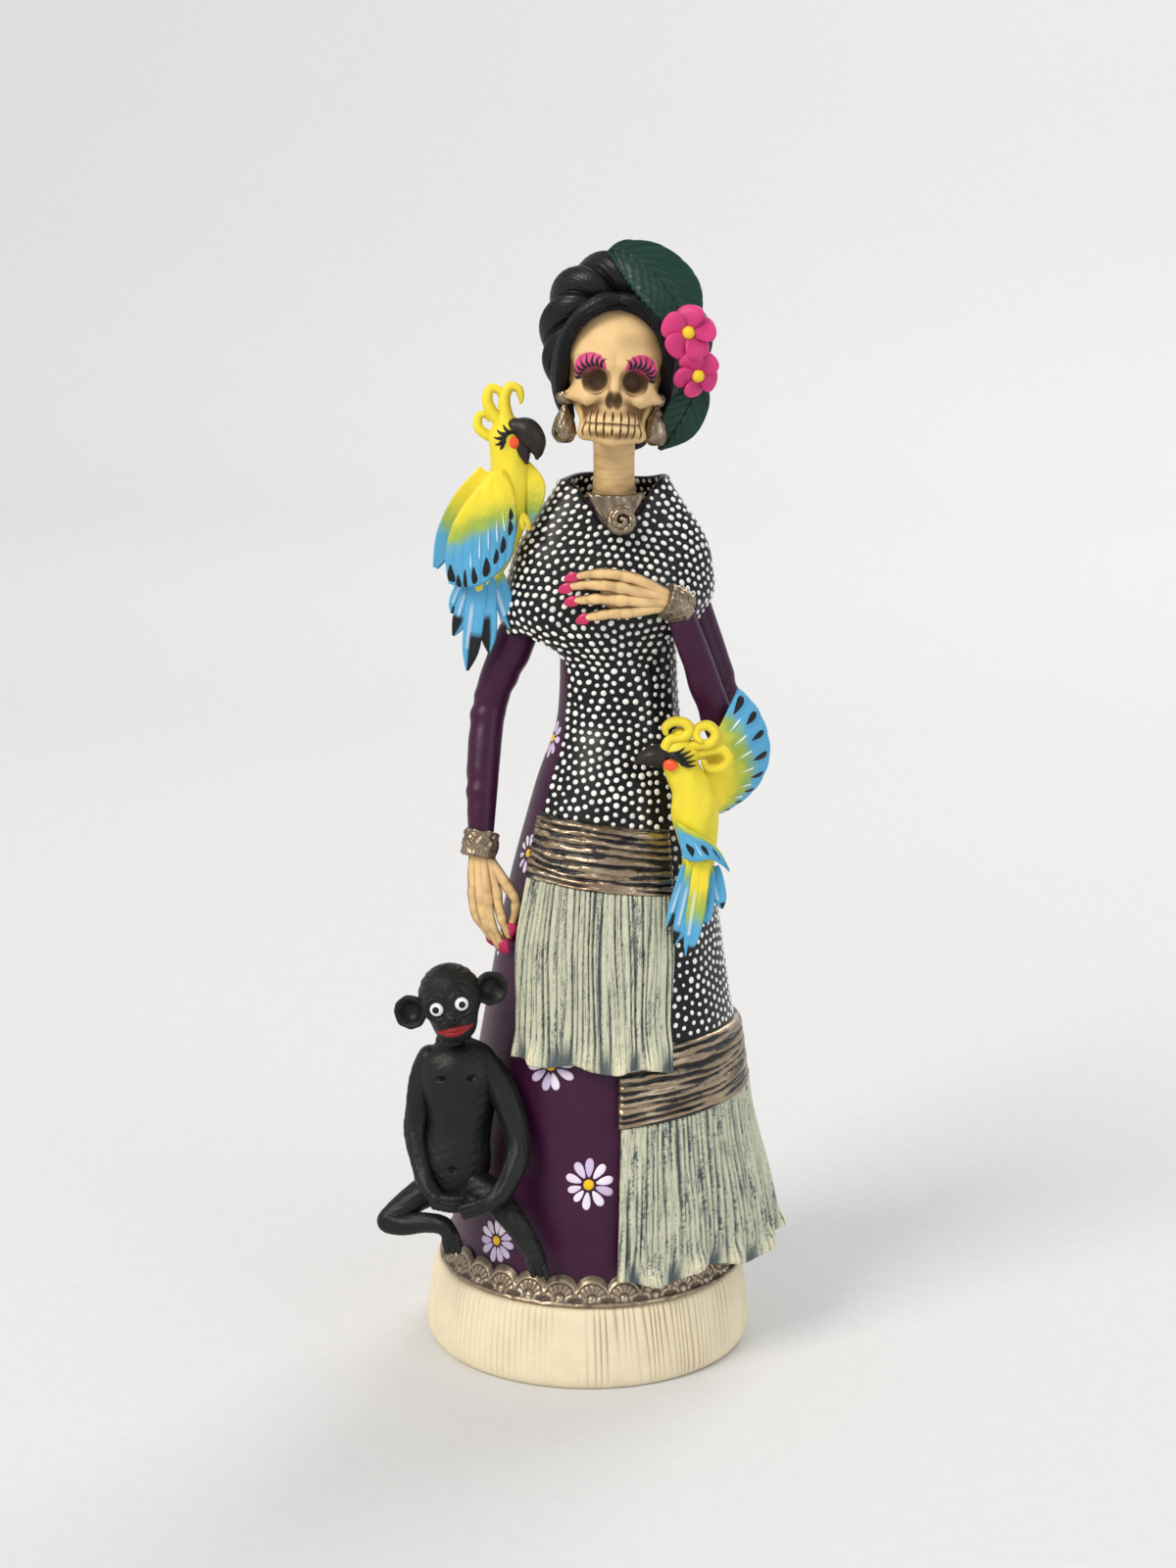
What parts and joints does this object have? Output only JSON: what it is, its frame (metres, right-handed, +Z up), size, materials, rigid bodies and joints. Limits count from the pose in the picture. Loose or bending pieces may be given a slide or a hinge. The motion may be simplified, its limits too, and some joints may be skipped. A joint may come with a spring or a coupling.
{
  "type": "catrina figure",
  "caption": "Standing painted clay skeleton lady in a long dress and spotted shawl, with parrots and a monkey, on a hollow skirt base.",
  "frame": {"origin": "on the standing surface, under the middle of the whole figure's outline", "axes": "+Z up, the figure faces -Y, her right hand is towards -X"},
  "size_m": [0.0966, 0.0814, 0.26],
  "materials": {
    "ivory_clay": "matt painted clay",
    "bronze_paint": "metallic paint on clay",
    "plum_clay": "satin painted clay",
    "spotted_shawl": "satin black paint with white dots",
    "straw_fringe": "matt pale paint over a dark wash",
    "bone_clay": "matt bone paint with a brown wash",
    "crimson_nail": "satin paint",
    "black_hair": "satin painted clay",
    "green_leaf": "satin painted clay",
    "pink_petal": "satin painted clay",
    "yellow_paint": "satin painted clay",
    "parrot_body": "satin painted clay",
    "parrot_wing": "satin painted clay, sky blue to yellow",
    "parrot_beak": "satin painted clay",
    "parrot_eye": "gloss paint",
    "monkey_black": "satin painted clay",
    "monkey_eye": "gloss paint",
    "monkey_lip": "satin paint",
    "steel_wire": "bare wire"
  },
  "bodies": {
    "root": {"underskirt": "ivory_clay", "lace_trim": "bronze_paint", "skirt": "plum_clay", "torso": "plum_clay", "shawl_wrap": "spotted_shawl", "shawl_front_end": "spotted_shawl", "shawl_side_end": "spotted_shawl", "upper_band": "bronze_paint", "upper_fringe": "straw_fringe", "lower_band": "bronze_paint", "lower_fringe": "straw_fringe", "right_sleeve": "plum_clay", "right_bracelet": "bronze_paint", "right_hand": "bone_clay", "right_nails": "crimson_nail", "left_sleeve": "plum_clay", "left_bracelet": "bronze_paint", "left_hand": "bone_clay", "left_nails": "crimson_nail", "neck": "bone_clay", "neck_wire": "steel_wire", "arm_wires": "steel_wire", "necklace": "bronze_paint", "brooch": "bronze_paint", "skull": "bone_clay", "hair_front": "black_hair", "hair_back": "black_hair", "braid_crown": "black_hair", "upper_leaf": "green_leaf", "lower_leaf": "green_leaf", "upper_flower": "pink_petal", "lower_flower": "pink_petal", "flower_centres": "yellow_paint", "right_earring": "bronze_paint", "left_earring": "bronze_paint", "shoulder_parrot_body": "parrot_body", "shoulder_parrot_beak": "parrot_beak", "shoulder_parrot_crest": "yellow_paint", "shoulder_parrot_near_wing": "parrot_wing", "shoulder_parrot_far_wing": "parrot_wing", "shoulder_parrot_tail": "parrot_wing", "hip_parrot_body": "parrot_body", "hip_parrot_beak": "parrot_beak", "hip_parrot_crest": "yellow_paint", "hip_parrot_raised_wing": "parrot_wing", "hip_parrot_folded_wing": "parrot_wing", "hip_parrot_tail": "parrot_wing", "parrot_eyes": "parrot_eye", "monkey_torso": "monkey_black", "monkey_head": "monkey_black", "monkey_ears": "monkey_black", "monkey_eyes": "monkey_eye", "monkey_lips": "monkey_lip", "monkey_right_arm": "monkey_black", "monkey_left_arm": "monkey_black", "monkey_right_leg": "monkey_black", "monkey_left_leg": "monkey_black"}
  },
  "joints": []
}
